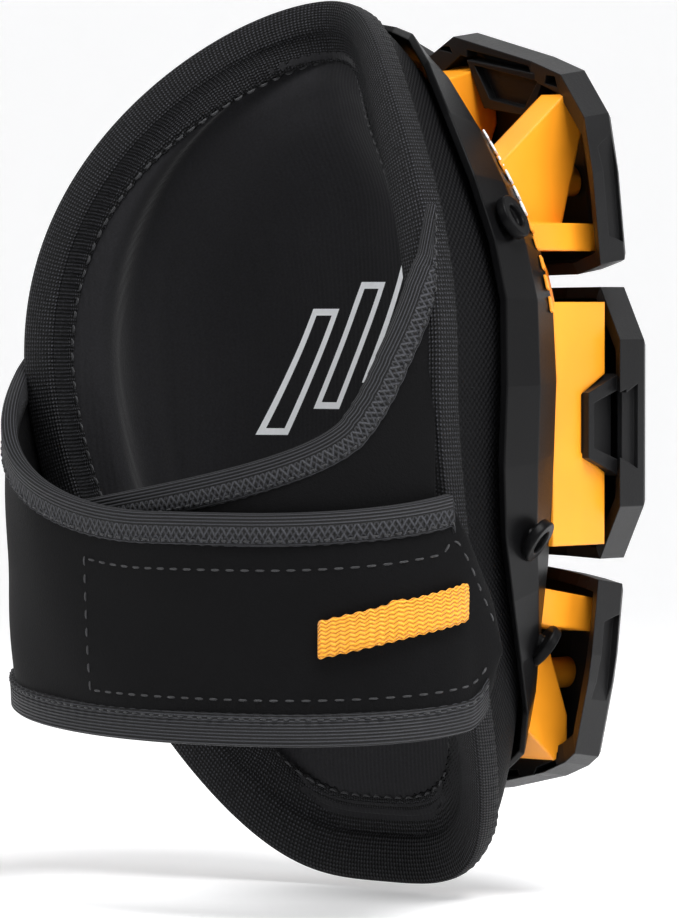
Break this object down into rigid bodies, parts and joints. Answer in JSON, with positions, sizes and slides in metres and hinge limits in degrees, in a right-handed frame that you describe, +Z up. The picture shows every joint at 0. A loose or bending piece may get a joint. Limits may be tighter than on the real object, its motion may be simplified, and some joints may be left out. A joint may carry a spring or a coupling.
{
  "type": "knee pad",
  "caption": "Strap-on knee pad: padded cup in a rigid frame with a ribbed front shell and rubber tread blocks, closed by a hinged strap over a wing.",
  "frame": {"origin": "point behind the knee cup's foot, midway between its sides, level with the cup's lowest point, 50 mm ahead of the sides' rear edges", "axes": "+Z up the leg, -Y towards the front of the treads, +X towards the side where the strap is rooted"},
  "size_m": [0.1719, 0.1609, 0.2631],
  "materials": {
    "nylon_cover": "matte",
    "foam": "matte",
    "gel": "satin",
    "lining_knit": "matte",
    "binding_tape": "matte",
    "frame_plastic": "satin",
    "shell_plastic": "satin",
    "rivet_plastic": "satin",
    "washer_steel": "brushed",
    "screw_steel": "brushed",
    "tread_rubber": "matte",
    "strap_neoprene": "matte",
    "edge_elastic": "matte",
    "hook_loop": "matte",
    "tab_webbing": "matte"
  },
  "bodies": {
    "pad": {"outer_cover": "nylon_cover", "foam_core": "foam", "gel_pad": "gel", "inner_lining": "lining_knit", "rim_binding": "binding_tape", "carrier_frame": "frame_plastic", "front_shell": "shell_plastic", "shell_rivets": "rivet_plastic", "rivet_washers": "washer_steel", "tread_screws": "screw_steel", "tread_upper_left": "tread_rubber", "tread_upper_right": "tread_rubber", "tread_middle_left": "tread_rubber", "tread_middle_right": "tread_rubber", "tread_lower_left": "tread_rubber", "tread_lower_right": "tread_rubber"},
    "strap_assembly": {"strap": "strap_neoprene", "strap_top_tape": "edge_elastic", "strap_bottom_tape": "edge_elastic", "strap_hook_patch": "hook_loop"},
    "tab": {"pull_tab": "tab_webbing"},
    "wing_assembly": {"wing": "strap_neoprene", "wing_tape": "edge_elastic", "wing_loop_patch": "hook_loop"}
  },
  "joints": [
    {"name": "strap_opens", "type": "hinge", "parent": "pad", "child": "strap_assembly", "pos_m": [0.0845, 0.0466, 0.1], "axis": [0, 0, -1], "range_deg": [0, 95]},
    {"name": "wing_opens", "type": "hinge", "parent": "pad", "child": "wing_assembly", "pos_m": [-0.0786, 0.05, 0.12], "axis": [0, 0, 1], "range_deg": [0, 40]},
    {"name": "tab_lifts", "type": "hinge", "parent": "strap_assembly", "child": "tab", "pos_m": [-0.0615, 0.0772, 0.072], "axis": [0, 0, -1], "range_deg": [0, 100]}
  ],
  "couplings": [
    {"joint": "wing_opens", "follows": "strap_opens", "ratio": 0.4}
  ]
}
